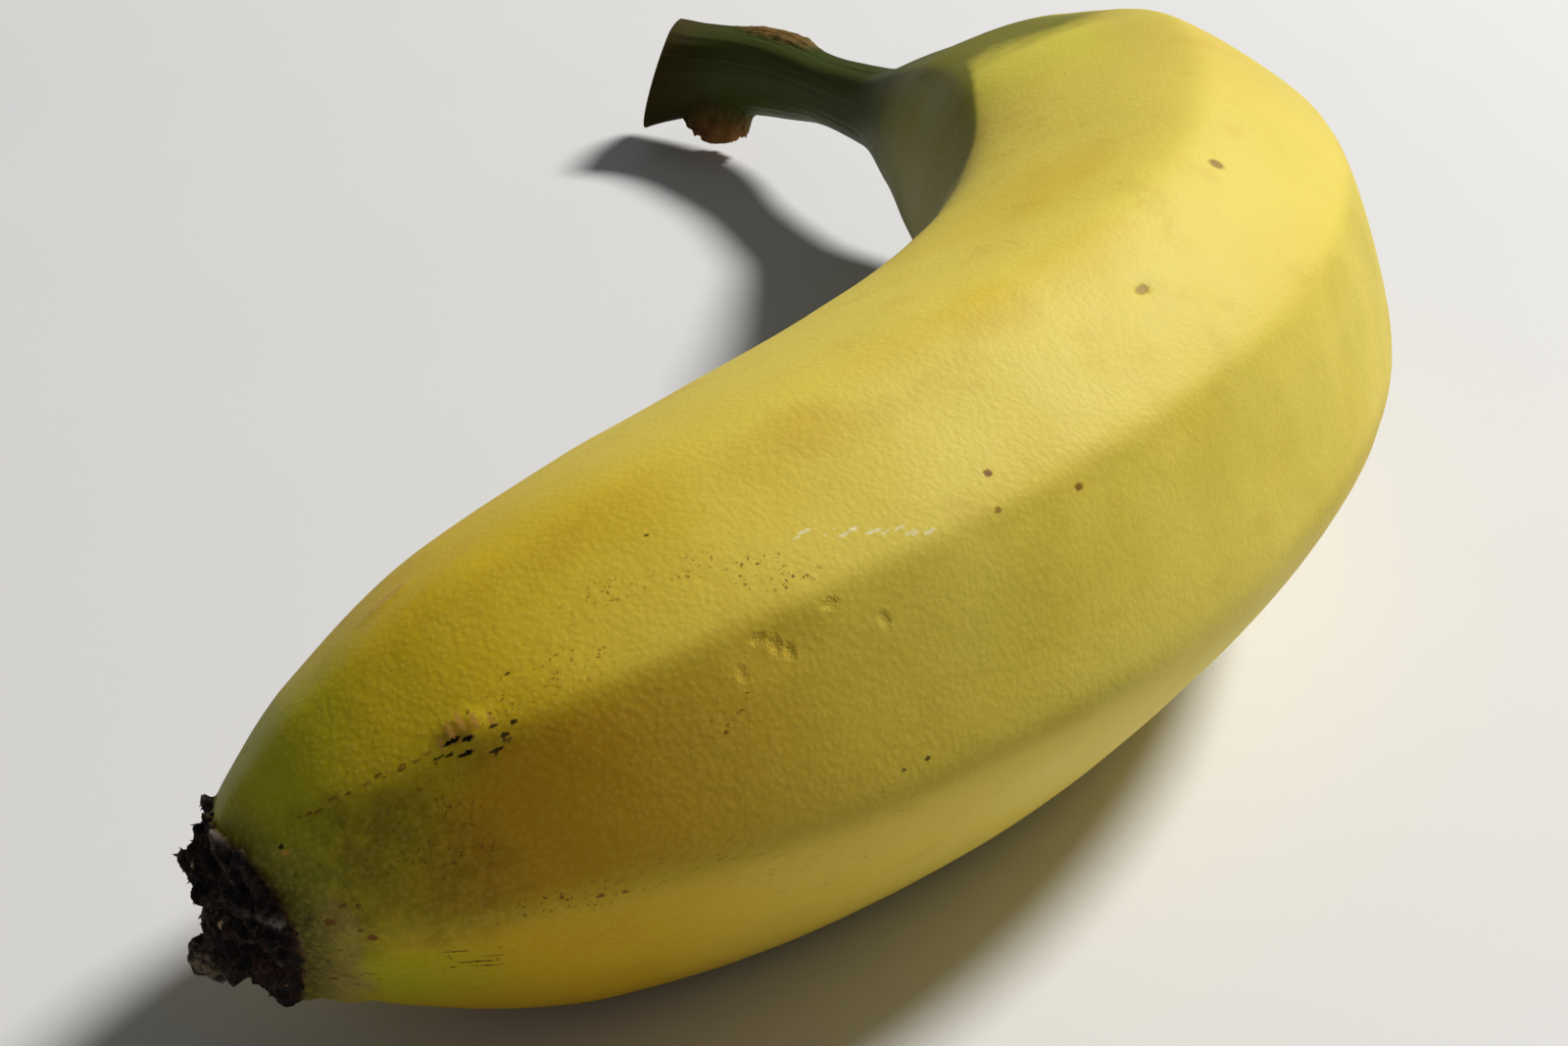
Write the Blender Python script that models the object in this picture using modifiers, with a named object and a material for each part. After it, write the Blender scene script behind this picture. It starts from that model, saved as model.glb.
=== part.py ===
# One ripe banana, lying on its side on a level surface. Metres, +Z up.
# The blossom tip points to -X, the cut stem to +X, and the outer bend to -Y.
# The origin is on the surface it lies on, under the middle of its bounding box.
import math

import bmesh
import bpy
from mathutils import Matrix, Vector

# Driving dimensions: the centre line
LENGTH = 0.194             # along the centre line, from the blossom tip to a little past the stem's cut
STEM_CUT = 0.972           # where along the length the stem is cut
EVEN_BEND = -0.40          # radians of turn per whole length, the same all the way
BELLY_BEND = 3.96          # extra turn per whole length at the middle of the bend
BELLY_PLACE = 0.42         # where along the length that middle is
BELLY_SPREAD = 0.305       # how far along the length the extra turn spreads
NECK_BEND = -1.12          # the neck straightens by this much from here on
NECK_PLACE = 0.754
NECK_BLEND = 0.03          # how gradually it starts
STEM_BEND = 12.1           # the stem hooks round by this much from here on
STEM_PLACE = 0.877
STEM_BLEND = 0.02

# Driving dimensions: the skin
PROFILE = (                # place along the length, mean radius there
    (0.000, 0.0041), (0.035, 0.0096), (0.090, 0.0144), (0.160, 0.0168), (0.250, 0.0179),
    (0.380, 0.0182), (0.520, 0.0187), (0.640, 0.0144), (0.720, 0.0086), (0.780, 0.0044),
    (0.830, 0.0039), (0.880, 0.0047), (0.950, 0.0055), (1.000, 0.0074),
)
RIDGES = (-80, -5, 36, 74, 132)      # degrees round the section: 0 faces out of the bend, 90 up
TWIST = -27                # degrees that the ridges turn from the tip to the stem's cut
TWIST_ZERO = 0.40          # where along the length the ridges stand at the angles above
FLATNESS = 0.50            # 0 is a round section, 1 has flat faces between the ridges
DEEPEST_DIP = 0.11         # most that a face falls inside the round section, of the radius
RIDGE_CREASE = 0.25        # how crisp the ridges stay when the skin is smoothed
STEM_SLANT = -6            # degrees that the stem's cut leans from square

PEEL_COLOUR = (0.70, 0.50, 0.045, 1)
PEEL_ROUGHNESS = 0.48

# Driving dimensions: how it lies
ROLL = -8.64                # degrees about the line from tip to stem: the belly lifts
PITCH = 1.50                # degrees about the level line across it: the stem sinks
PRESSED = 0.0004           # how much of the skin is pressed flat by its own weight

# Mesh
RING_COUNT = 36            # rings of the cage from tip to cut
RING_CROWDING = 0.05       # how much closer the rings stand at both ends than in the middle
FACE_WIDTH = 18            # degrees of the section that one side of the cage spans at most
SMOOTHING = 1              # subdivision levels
STEPS = 400                # steps used to walk along the centre line


def clear_scene():
    for item in list(bpy.data.objects):
        bpy.data.objects.remove(item, do_unlink=True)


def make_collection(name):
    group = bpy.data.collections.new(name)
    bpy.context.scene.collection.children.link(group)
    return group


def bend_rate(place):
    belly = BELLY_BEND * math.exp(-((place - BELLY_PLACE) / BELLY_SPREAD) ** 2)
    neck = NECK_BEND / (1 + math.exp(-(place - NECK_PLACE) / NECK_BLEND))
    stem = STEM_BEND / (1 + math.exp(-(place - STEM_PLACE) / STEM_BLEND))
    return EVEN_BEND + belly + neck + stem


def walk_centre_line():
    """Points and headings along the centre line, level, with its ends on the X axis."""
    step = 1 / STEPS
    heading = 0.0
    point = Vector((0, 0, 0))
    points, headings = [point.copy()], [heading]
    for i in range(STEPS):
        middle = heading + bend_rate(i * step) * step / 2
        point += Vector((math.cos(middle), math.sin(middle), 0)) * LENGTH * step
        heading += bend_rate((i + 0.5) * step) * step
        points.append(point.copy())
        headings.append(heading)
    end = points[round(STEM_CUT * STEPS)]
    turn = -math.atan2(end.y, end.x)
    level = Matrix.Rotation(turn, 3, "Z")
    return [level @ p for p in points], [h + turn for h in headings]


def mean_radius(place):
    """A smooth curve through the profile's points, without overshoot."""
    places = [p for p, _ in PROFILE]
    radii = [r for _, r in PROFILE]
    rise = [(radii[i + 1] - radii[i]) / (places[i + 1] - places[i]) for i in range(len(radii) - 1)]
    slopes = [rise[0]]
    for before, after in zip(rise, rise[1:]):
        both_ways = before * after > 0
        slopes.append(2 * before * after / (before + after) if both_ways else 0.0)
    slopes.append(rise[-1])
    i = max(k for k in range(len(places) - 1) if places[k] <= place)
    span = places[i + 1] - places[i]
    t = (place - places[i]) / span
    ease = t * t * (3 - 2 * t)
    near = t * (1 - t) ** 2 * span * slopes[i]
    far = t * t * (t - 1) * span * slopes[i + 1]
    return radii[i] + (radii[i + 1] - radii[i]) * ease + near + far


def section_spokes():
    """Angle, radius factor and ridge flag of each side of the section, in radians."""
    spokes = []
    for start, end in zip(RIDGES, RIDGES[1:] + (RIDGES[0] + 360,)):
        width = math.radians(end - start)
        sides = math.ceil((end - start) / FACE_WIDTH)
        dip = min(FLATNESS * (1 - math.cos(width / 2)), DEEPEST_DIP)
        for k in range(sides):
            share = k / sides
            factor = 1 - dip * math.sin(math.pi * share)
            spokes.append((math.radians(start) + width * share, factor, k == 0))
    return spokes


def smoothing_allowance(spokes, k):
    """Smoothing pulls a cage in towards its neighbours, so it starts this much further out."""
    count = len(spokes)
    turn = 2 * math.pi
    before = (spokes[k][0] - spokes[k - 1][0]) % turn
    after = (spokes[(k + 1) % count][0] - spokes[k][0]) % turn
    return 6 / (4 + math.cos(before) + math.cos(after))


def ring_places():
    """Rings stand closer together at the tip, where the skin closes, and in the stem."""
    places = []
    for i in range(RING_COUNT):
        t = i / (RING_COUNT - 1)
        places.append(STEM_CUT * (t - RING_CROWDING * math.sin(2 * math.pi * t)))
    return places


def ring_points(place, points, headings, spokes, slant=0.0):
    i = min(round(place * STEPS), STEPS)
    heading = headings[i]
    along = Vector((math.cos(heading), math.sin(heading), 0))
    outward = Vector((math.sin(heading), -math.cos(heading), 0))
    up = Vector((0, 0, 1))
    turn = math.radians(TWIST) * (place - TWIST_ZERO)
    radius = mean_radius(place)
    ring = []
    for k, (angle, factor, _) in enumerate(spokes):
        reach = radius * factor * smoothing_allowance(spokes, k)
        side = outward * math.cos(angle + turn) + up * math.sin(angle + turn)
        lean = along * math.tan(slant) * math.cos(angle + turn)
        ring.append(points[i] + (side + lean) * reach)
    return ring


def build_cage(spokes):
    points, headings = walk_centre_line()
    cage = bmesh.new()
    rings = []
    places = ring_places()
    for place in places:
        slant = math.radians(STEM_SLANT) if place == places[-1] else 0.0
        corners = ring_points(place, points, headings, spokes, slant)
        rings.append([cage.verts.new(corner) for corner in corners])
    count = len(spokes)
    for lower, upper in zip(rings, rings[1:]):
        for k in range(count):
            after = (k + 1) % count
            cage.faces.new((lower[k], lower[after], upper[after], upper[k]))
    cage.faces.new(list(reversed(rings[0])))
    cage.faces.new(rings[-1])
    crease_edges(cage, rings, spokes)
    bmesh.ops.recalc_face_normals(cage, faces=cage.faces)
    return cage


def crease_edges(cage, rings, spokes):
    """Ridges stay a little crisp, and the stem's cut stays flat with a full edge."""
    crease = cage.edges.layers.float.new("crease_edge")
    for k, (_, _, is_ridge) in enumerate(spokes):
        if is_ridge:
            for lower, upper in zip(rings, rings[1:]):
                cage.edges.get((lower[k], upper[k]))[crease] = RIDGE_CREASE
    for corner, after in zip(rings[-1], rings[-1][1:] + rings[-1][:1]):
        cage.edges.get((corner, after))[crease] = 1.0


def evaluated_points(item):
    graph = bpy.context.evaluated_depsgraph_get()
    return [vert.co.copy() for vert in item.evaluated_get(graph).data.vertices]


def peel_material():
    material = bpy.data.materials.new("ripe_peel")
    material.use_nodes = True
    shader = material.node_tree.nodes["Principled BSDF"]
    shader.inputs["Base Color"].default_value = PEEL_COLOUR
    shader.inputs["Roughness"].default_value = PEEL_ROUGHNESS
    shader.inputs["Metallic"].default_value = 0.0
    return material


def make_banana(group):
    mesh = bpy.data.meshes.new("banana")
    cage = build_cage(section_spokes())
    cage.to_mesh(mesh)
    cage.free()
    mesh.shade_smooth()
    mesh.materials.append(peel_material())
    banana = bpy.data.objects.new("banana", mesh)
    group.objects.link(banana)
    smooth = banana.modifiers.new("round the skin", "SUBSURF")
    smooth.levels = SMOOTHING
    smooth.render_levels = SMOOTHING
    return banana


def lay_down(banana):
    """Rolls and pitches it into its resting pose, then centres it over the origin."""
    lying = Matrix.Rotation(math.radians(PITCH), 4, "Y") @ Matrix.Rotation(math.radians(ROLL), 4, "X")
    banana.data.transform(lying)
    skin = evaluated_points(banana)
    middle = [(min(p[axis] for p in skin) + max(p[axis] for p in skin)) / 2 for axis in (0, 1)]
    lowest = min(p.z for p in skin)
    banana.data.transform(Matrix.Translation((-middle[0], -middle[1], -lowest - PRESSED)))


def press_flat(banana, group):
    """The skin is cut level where it bears on the surface."""
    bpy.ops.mesh.primitive_cube_add(size=1)
    slab = bpy.context.object
    slab.name = "surface_cutter"
    slab.scale = (2 * LENGTH, 2 * LENGTH, LENGTH)
    slab.location = (0, 0, -LENGTH / 2)
    slab.hide_render = True
    slab.display_type = "WIRE"
    for holder in list(slab.users_collection):
        holder.objects.unlink(slab)
    group.objects.link(slab)
    cut = banana.modifiers.new("press flat", "BOOLEAN")
    cut.operation = "DIFFERENCE"
    cut.solver = "EXACT"
    cut.object = slab


clear_scene()
fruit = make_banana(make_collection("banana"))
lay_down(fruit)
press_flat(fruit, make_collection("cutters"))
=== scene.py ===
import math
import random

import bmesh
import bpy
from mathutils import Matrix, Vector


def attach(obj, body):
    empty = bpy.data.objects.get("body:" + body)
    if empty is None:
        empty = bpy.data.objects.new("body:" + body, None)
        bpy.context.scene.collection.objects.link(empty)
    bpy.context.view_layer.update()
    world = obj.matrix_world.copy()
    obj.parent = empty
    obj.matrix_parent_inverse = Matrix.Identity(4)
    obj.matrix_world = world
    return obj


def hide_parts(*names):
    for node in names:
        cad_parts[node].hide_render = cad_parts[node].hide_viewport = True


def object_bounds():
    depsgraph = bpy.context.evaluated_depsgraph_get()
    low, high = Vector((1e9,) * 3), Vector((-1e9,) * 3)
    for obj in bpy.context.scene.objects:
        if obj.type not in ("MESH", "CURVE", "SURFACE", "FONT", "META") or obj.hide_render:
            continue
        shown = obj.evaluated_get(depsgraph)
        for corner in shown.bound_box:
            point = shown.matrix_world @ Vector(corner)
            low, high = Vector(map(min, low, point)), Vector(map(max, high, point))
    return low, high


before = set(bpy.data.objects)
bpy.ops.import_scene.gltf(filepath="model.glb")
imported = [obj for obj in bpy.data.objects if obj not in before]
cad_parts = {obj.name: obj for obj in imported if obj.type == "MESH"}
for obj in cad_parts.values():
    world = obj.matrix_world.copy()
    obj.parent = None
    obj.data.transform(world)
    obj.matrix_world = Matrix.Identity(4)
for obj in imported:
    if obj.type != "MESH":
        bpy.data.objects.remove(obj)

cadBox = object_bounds()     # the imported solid's box, before any looks are added
mm = 0.001


# helpers for node trees

def addNode(tree, kind, **settings):
    node = tree.nodes.new(kind)
    for name, value in settings.items():
        setattr(node, name, value)
    return node


def feed(tree, socket, value):
    # a value may be another node's output, or a plain number, colour or vector
    if isinstance(value, bpy.types.NodeSocket):
        tree.links.new(value, socket)
    else:
        socket.default_value = value


def calc(tree, operation, *values, clamp=False):
    node = addNode(tree, "ShaderNodeMath", operation=operation, use_clamp=clamp)
    for socket, value in zip(node.inputs, values):
        feed(tree, socket, value)
    return node.outputs[0]


def times(tree, first, second):
    return calc(tree, "MULTIPLY", first, second)


def plus(tree, first, second):
    return calc(tree, "ADD", first, second)


def minus(tree, first, second, clamp=False):
    return calc(tree, "SUBTRACT", first, second, clamp=clamp)


def vectorCalc(tree, operation, *values):
    node = addNode(tree, "ShaderNodeVectorMath", operation=operation)
    slots = list(node.inputs)
    if operation == "SCALE":
        slots[1] = node.inputs["Scale"]
    for socket, value in zip(slots, values):
        feed(tree, socket, value)
    return node.outputs["Value" if operation == "LENGTH" else "Vector"]


def vectorOf(tree, *parts):
    node = addNode(tree, "ShaderNodeCombineXYZ")
    for socket, part in zip(node.inputs, parts):
        feed(tree, socket, part)
    return node.outputs[0]


def partsOf(tree, vector):
    node = addNode(tree, "ShaderNodeSeparateXYZ")
    feed(tree, node.inputs[0], vector)
    return node.outputs


def ramp(tree, value, low, high, toLow=0.0, toHigh=1.0):
    # smooth step from low to high, either way round
    node = addNode(tree, "ShaderNodeMapRange", interpolation_type="SMOOTHSTEP")
    for socket, given in zip(node.inputs, (value, low, high, toLow, toHigh)):
        feed(tree, socket, given)
    return node.outputs[0]


def noise(tree, where, scale, detail=3.0, rough=0.5, twist=0.0):
    node = addNode(tree, "ShaderNodeTexNoise")
    feed(tree, node.inputs["Vector"], where)
    node.inputs["Scale"].default_value = scale
    node.inputs["Detail"].default_value = detail
    node.inputs["Roughness"].default_value = rough
    node.inputs["Distortion"].default_value = twist
    return node.outputs[0]


def swing(tree, where, scale, amount, detail=3.0, rough=0.5):
    # noise that swings evenly to both sides of nothing, by about the amount given
    centred = minus(tree, noise(tree, where, scale, detail, rough), 0.5)
    return times(tree, centred, 2 * amount)


def cells(tree, where, scale, feature="F1", jitter=1.0):
    node = addNode(tree, "ShaderNodeTexVoronoi", feature=feature)
    feed(tree, node.inputs["Vector"], where)
    node.inputs["Scale"].default_value = scale
    node.inputs["Randomness"].default_value = jitter
    return node


def total(tree, values):
    sumSoFar = values[0]
    for value in values[1:]:
        sumSoFar = plus(tree, sumSoFar, value)
    return sumSoFar


def strongest(tree, values):
    best = values[0]
    for value in values[1:]:
        best = calc(tree, "MAXIMUM", best, value)
    return best


# the line the fruit grew along

growth = {
    "length": 0.194, "cut": 0.972,            # along the line, and where along it the stem is cut
    "evenBend": -0.40, "bellyBend": 3.96,     # turns in radians for the whole length
    "bellyPlace": 0.42, "bellySpread": 0.305,
    "neckBend": -1.12, "neckPlace": 0.754, "neckBlend": 0.03,
    "stemBend": 12.1, "stemPlace": 0.877, "stemBlend": 0.02,
    "roll": -8.64, "pitch": 1.50,             # degrees, how it settles on the table
    "settled": (-73.813, 33.539, 12.445),     # mm from the line's start to where it comes to rest
    "points": 600,
    # place along the line and mean radius in millimetres
    "girth": ((0.000, 4.1), (0.035, 9.6), (0.090, 14.4), (0.160, 16.8), (0.250, 17.9), (0.380, 18.2),
              (0.520, 18.7), (0.640, 14.4), (0.720, 8.6), (0.780, 4.4), (0.830, 3.9), (0.880, 4.7),
              (0.950, 5.5), (1.000, 7.4)),
}


def bendAt(place):
    belly = growth["bellyBend"] * math.exp(-((place - growth["bellyPlace"]) / growth["bellySpread"]) ** 2)
    neck = growth["neckBend"] / (1 + math.exp(-(place - growth["neckPlace"]) / growth["neckBlend"]))
    stem = growth["stemBend"] / (1 + math.exp(-(place - growth["stemPlace"]) / growth["stemBlend"]))
    return growth["evenBend"] + belly + neck + stem


def girthAt(place):
    # a smooth curve through the girth's points that never overshoots them
    places, radii = zip(*growth["girth"])
    rise = [(radii[i + 1] - radii[i]) / (places[i + 1] - places[i]) for i in range(len(radii) - 1)]
    slopes = [rise[0]]
    for before, after in zip(rise, rise[1:]):
        slopes.append(2 * before * after / (before + after) if before * after > 0 else 0.0)
    slopes.append(rise[-1])
    i = max(k for k in range(len(places) - 1) if places[k] <= place)
    span = places[i + 1] - places[i]
    t = (place - places[i]) / span
    level = radii[i] + (radii[i + 1] - radii[i]) * t * t * (3 - 2 * t)
    return (level + t * (1 - t) ** 2 * span * slopes[i] + t * t * (t - 1) * span * slopes[i + 1]) * mm


def layDown():
    pitched = Matrix.Rotation(math.radians(growth["pitch"]), 3, "Y")
    rolled = Matrix.Rotation(math.radians(growth["roll"]), 3, "X")
    return pitched @ rolled


def walkGrowthLine():
    steps = growth["points"]
    heading, spot = 0.0, Vector((0, 0, 0))
    spots = [spot.copy()]
    for i in range(steps):
        middle = heading + bendAt(i / steps) / steps / 2
        spot += Vector((math.cos(middle), math.sin(middle), 0)) * growth["length"] / steps
        heading += bendAt((i + 0.5) / steps) / steps
        spots.append(spot.copy())
    end = spots[round(growth["cut"] * steps)]
    level = Matrix.Rotation(-math.atan2(end.y, end.x), 3, "Z")
    return [layDown() @ level @ s for s in spots]


def makeGrowthLine():
    spots = walkGrowthLine()
    data = bpy.data.curves.new("growthLine", "CURVE")
    data.dimensions = "3D"
    spline = data.splines.new("POLY")
    spline.points.add(len(spots) - 1)
    for i, spot in enumerate(spots):
        spline.points[i].co = (*spot, 1)
        spline.points[i].radius = girthAt(i / growth["points"])
    line = bpy.data.objects.new("growthLine", data)
    bpy.context.scene.collection.objects.link(line)
    return line


# the peel

peel = {
    "rings": 400, "spokes": 238,
    "crowding": 0.72,                        # rings stand closer at the tip and the stem
    "ridges": (-80, -5, 36, 74, 132),        # degrees round the section, 0 out of the bend, 90 up
    "flatness": 0.50, "deepestDip": 0.11,    # 1 has flat faces between ridges; the most they fall in
    "softness": (0.24, 0.08),                # how rounded the ridges are, along the belly and at the neck
    "twist": -27.0, "twistZero": 0.40,       # degrees the ridges turn, and where they stand as given
    "seam": -144.0,                          # degrees, where the pattern's two edges meet, under the bend
    "tipReach": 0.006, "tipRound": 0.012,    # how far the blossom end bulges past the line's start
    "cutStart": 0.962,                       # rings past here lie on the stem's cut
    "slant": -6.0, "rise": -25.0,            # degrees that the cut leans: out of the bend, and upwards
    "sag": 0.00022, "sagScale": 55.0,        # slow unevenness of the whole skin
    "dimple": 0.00005, "dimpleScale": 260.0,
    "groove": 0.00018,                       # lengthwise furrows of the stem
    "crust": 0.00080,                        # lumps of the dry blossom end
    "crustEnd": 0.0034,                      # how far along the line that dry end reaches
    "crustLow": 0.0092, "crustTop": 0.0030,  # how much further it goes on its lower side and at its top
}

# swellings and hollows of the skin: mm from the tip, degrees round, half mm long, half mm wide, mm deep
hollows = (
    (2.6, -88, 2.4, 5.0, -0.70), (0.3, -72, 2.2, 4.4, -0.85), (0.0, -42, 1.6, 2.8, -0.75),
    (13.0, 93, 1.7, 0.9, -0.14), (12.9, 40, 1.3, 0.9, -0.20), (58.6, 58, 1.2, 1.0, 0.10),
    (27.6, 30, 2.2, 1.4, 0.10),
)

# single marks on the peel: mm from the tip, degrees round, half mm long, half mm wide, strength
marks = {
    "scab": (
        (12.2, 38.4, 0.50, 0.13, 1.0), (12.9, 37.4, 0.30, 0.16, 1.0), (12.6, 34.6, 0.45, 0.12, 1.0),
        (13.9, 32.6, 0.40, 0.11, 0.9), (14.2, 37.6, 0.22, 0.12, 0.9), (14.5, 34.8, 0.22, 0.15, 0.9),
        (11.9, 35.8, 0.22, 0.10, 0.9), (15.1, 36.6, 0.20, 0.12, 0.9), (11.4, 36.4, 0.30, 0.08, 0.8),
        (3.3, 33.9, 0.16, 0.15, 1.0), (15.8, 46.9, 0.16, 0.10, 0.8), (3.6, 102, 0.15, 0.12, 0.9),
        (32.7, -0.2, 0.18, 0.10, 0.8), (31.4, -0.4, 0.15, 0.12, 0.7), (25.0, 60.9, 0.14, 0.10, 0.8),
        (9.2, -17, 0.7, 0.07, 0.7), (10.0, -23.5, 0.9, 0.08, 0.9), (10.6, -26.5, 0.8, 0.08, 0.8),
        (10.9, -20.6, 0.6, 0.06, 0.7),
    ),
    "rust": (
        (5.8, -7.7, 0.26, 0.20, 1.0), (41.6, 42.2, 0.26, 0.26, 0.9), (45.5, 32.3, 0.26, 0.24, 0.9),
        (40.8, 35.4, 0.22, 0.20, 0.7), (58.6, 58.1, 0.60, 0.40, 0.6), (74.7, 66.3, 0.55, 0.60, 0.75),
        (4.2, -0.5, 0.30, 0.22, 0.8), (5.0, 4.9, 0.25, 0.12, 0.8), (3.6, -44, 0.28, 0.14, 0.8),
        (4.4, -40, 0.45, 0.10, 0.8), (5.3, -33, 0.35, 0.10, 0.8), (16.1, -4.8, 0.20, 0.14, 0.9),
        (17.2, -5.4, 0.16, 0.12, 0.8), (12.6, 40.0, 0.90, 0.70, 0.55),
    ),
    "tan": (
        (13.0, 93.2, 1.5, 0.75, 0.55), (12.3, 40.8, 0.17, 0.60, 1.0), (12.9, 42.0, 0.16, 0.62, 1.0),
        (13.5, 40.4, 0.15, 0.50, 1.0), (14.2, 39.2, 0.14, 0.42, 0.9), (11.7, 38.9, 0.17, 0.45, 0.9),
        (3.4, 30.9, 0.22, 0.16, 0.9),
    ),
    "dent": (
        (26.9, 32.7, 0.34, 0.26, 1.0), (27.6, 30.4, 0.30, 0.42, 1.0), (28.1, 28.4, 0.26, 0.40, 0.9),
        (30.8, 33.2, 0.40, 0.26, 0.9), (33.0, 26.8, 0.26, 0.40, 0.8), (25.6, 28.0, 0.24, 0.40, 0.6),
        (58.6, 58.1, 0.55, 0.40, 0.8), (13.0, 93.2, 1.3, 0.60, 0.7),
    ),
}

# rows of small marks: from (mm from the tip, degrees round), to, how many, half mm long, half mm wide,
# strength, kind, how many mm they wander
rows = (
    ((4.6, 39.8), (11.2, 37.8), 13, 0.22, 0.10, 0.85, "rust", 0.22),
    ((5.2, 39.4), (11.0, 38.2), 8, 0.16, 0.12, 0.7, "tan", 0.25),
    ((23.9, 19.0), (26.0, 25.8), 7, 0.12, 0.08, 0.9, "rust", 0.10),
    # the wax row is a painted glint: near-white highlight dashes on a glossier streak
    ((31.4, 47.4), (37.0, 37.2), 13, 0.32, 0.10, 0.9, "wax", 0.22),
    ((18.0, 0.5), (24.5, -8.5), 9, 0.42, 0.05, 0.45, "tan", 0.30),
    ((28.5, -3.5), (33.4, -6.0), 7, 0.40, 0.08, 0.5, "tan", 0.25),
    ((20.5, -3.5), (27.5, -12.5), 8, 0.40, 0.04, 0.45, "rust", 0.30),
)


def scatteredRows():
    draw = random.Random(11)
    made = []
    for first, last, count, long, wide, strength, kind, wander in rows:
        for i in range(count):
            share = (i + draw.uniform(-0.3, 0.3)) / (count - 1)
            along = first[0] + (last[0] - first[0]) * share + draw.uniform(-wander, wander)
            around = first[1] + (last[1] - first[1]) * share + draw.uniform(-wander, wander) * 4
            size = draw.uniform(0.5, 1.2)
            seen = strength * draw.uniform(0.6, 1.0)
            made.append((kind, (along, around, long * size, wide * size, seen)))
    return made


# patches on the peel: mm from the tip, degrees round, half mm long, half mm wide, strength
patches = {
    "bruise": (
        (8.4, 25, 2.0, 2.1, 0.60), (9.8, 16, 1.6, 1.8, 0.50), (6.2, 20, 2.6, 3.4, 0.62),
        (4.4, 8, 2.4, 4.6, 0.65), (13.4, 35, 1.6, 1.2, 0.30), (3.4, -30, 1.4, 3.6, 0.30),
        (9.0, 6, 4.0, 4.0, 0.45),
    ),
    "faded": (
        (3.9, -45, 1.7, 4.2, 0.75), (4.4, -8, 1.0, 2.6, 0.45),
    ),
    "speck": (
        (26.2, 50.0, 1.7, 0.9, 0.9), (28.3, 44.8, 1.8, 1.0, 1.0), (30.0, 40.0, 1.4, 0.7, 0.9),
        (21.5, 53.0, 3.0, 1.4, 0.55), (14.0, -4, 5.0, 1.0, 0.9), (17.0, 42, 4.5, 1.3, 0.6),
        (9.4, 20, 4.0, 3.0, 0.8), (90.0, 22, 16.0, 4.0, 0.4), (60.0, 132, 14.0, 2.0, 0.6),
        (85.0, 165, 10.0, 6.0, 0.4),
    ),
    "dash": (
        (13.0, 36, 2.2, 1.9, 1.0), (4.2, 4, 1.6, 3.4, 0.8), (4.2, -38, 1.6, 2.2, 1.0),
        (24.8, 22, 1.6, 1.6, 0.5), (9.4, 24, 2.4, 2.4, 0.5), (9.9, -22, 1.8, 1.6, 0.9),
    ),
    "scuff": (
        (19.5, -2.5, 3.6, 1.1, 1.0), (31.0, -5.5, 2.4, 1.1, 1.0), (27.0, -22, 3.2, 2.2, 0.8),
        (24.5, -12, 2.2, 1.4, 0.6), (29.0, -50, 4.0, 1.2, 0.7), (70.0, -50, 9.0, 5.0, 0.5),
        (100.0, -80, 12.0, 2.0, 0.7), (45.0, -80, 10.0, 2.0, 0.7), (110.0, 70, 10.0, 3.0, 0.4),
    ),
    "blotch": (
        (71.9, 97, 7.0, 3.0, 0.5), (58.6, 72, 5.0, 2.4, 0.5), (49.7, 72, 4.5, 2.2, 0.6),
        (43.0, 75, 3.5, 2.0, 0.6), (33.5, 66, 4.5, 1.8, 0.7), (25.0, 70, 6.0, 2.0, 0.4),
        (15.5, 20, 6.0, 4.5, 0.7), (22.0, 14, 6.0, 4.0, 0.4), (68.0, 40, 9.0, 4.0, 0.3),
        (95.0, 66, 9.0, 4.0, 0.4), (88.0, 150, 12.0, 6.0, 0.4), (50.0, -60, 14.0, 6.0, 0.3),
    ),
}

# where neighbours' stems tore away: mm from the tip, degrees round, half mm long, half mm wide,
# mm proud, strength
tears = ((172.0, 84, 6.0, 2.0, 0.5, 0.55), (180.5, -95, 3.5, 2.8, 3.5, 1.0))


def addInput(tree, name, kind, value=None):
    made = tree.interface.new_socket(name=name, in_out="INPUT", socket_type=kind)
    if value is not None:
        made.default_value = value
    return made


def sectionShape(tree, turn, place):
    # how far each face between two ridges falls inside a round section
    parts = []
    ends = peel["ridges"][1:] + (peel["ridges"][0] + 360,)
    soft = ramp(tree, place, 0.38, 0.62, *peel["softness"])
    softSquare = times(tree, soft, soft)
    fullArch = minus(tree, calc(tree, "SQRT", plus(tree, softSquare, 1.0)), soft)
    for start, end in zip(peel["ridges"], ends):
        width = math.radians(end - start)
        dip = min(peel["flatness"] * (1 - math.cos(width / 2)), peel["deepestDip"])
        fromRidge = minus(tree, turn, math.radians(start))
        share = calc(tree, "DIVIDE", calc(tree, "WRAP", fromRidge, 2 * math.pi, 0.0), width)
        inside = calc(tree, "LESS_THAN", share, 1.0)
        arch = calc(tree, "SINE", times(tree, share, math.pi))
        eased = calc(tree, "SQRT", plus(tree, times(tree, arch, arch), softSquare))
        level = calc(tree, "DIVIDE", minus(tree, eased, soft), fullArch)
        parts.append(times(tree, times(tree, level, dip), inside))
    return minus(tree, 1.0, total(tree, parts))


def squaredDistance(tree, place, turn, spot):
    # square of the distance from a spot's middle, in the spot's own half lengths
    along, around, long, wide = spot[:4]
    middle = along * mm / growth["length"]
    dx = times(tree, minus(tree, place, middle), growth["length"] / (long * mm))
    dy = times(tree, minus(tree, turn, math.radians(around)), girthAt(middle) / (wide * mm))
    return plus(tree, times(tree, dx, dx), times(tree, dy, dy))


def hollowDepth(tree, place, turn):
    depths = []
    for spot in hollows:
        far = squaredDistance(tree, place, turn, spot)
        depths.append(ramp(tree, far, 1.6, 0.0, 0.0, spot[4] * mm))
    return total(tree, depths)


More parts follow.
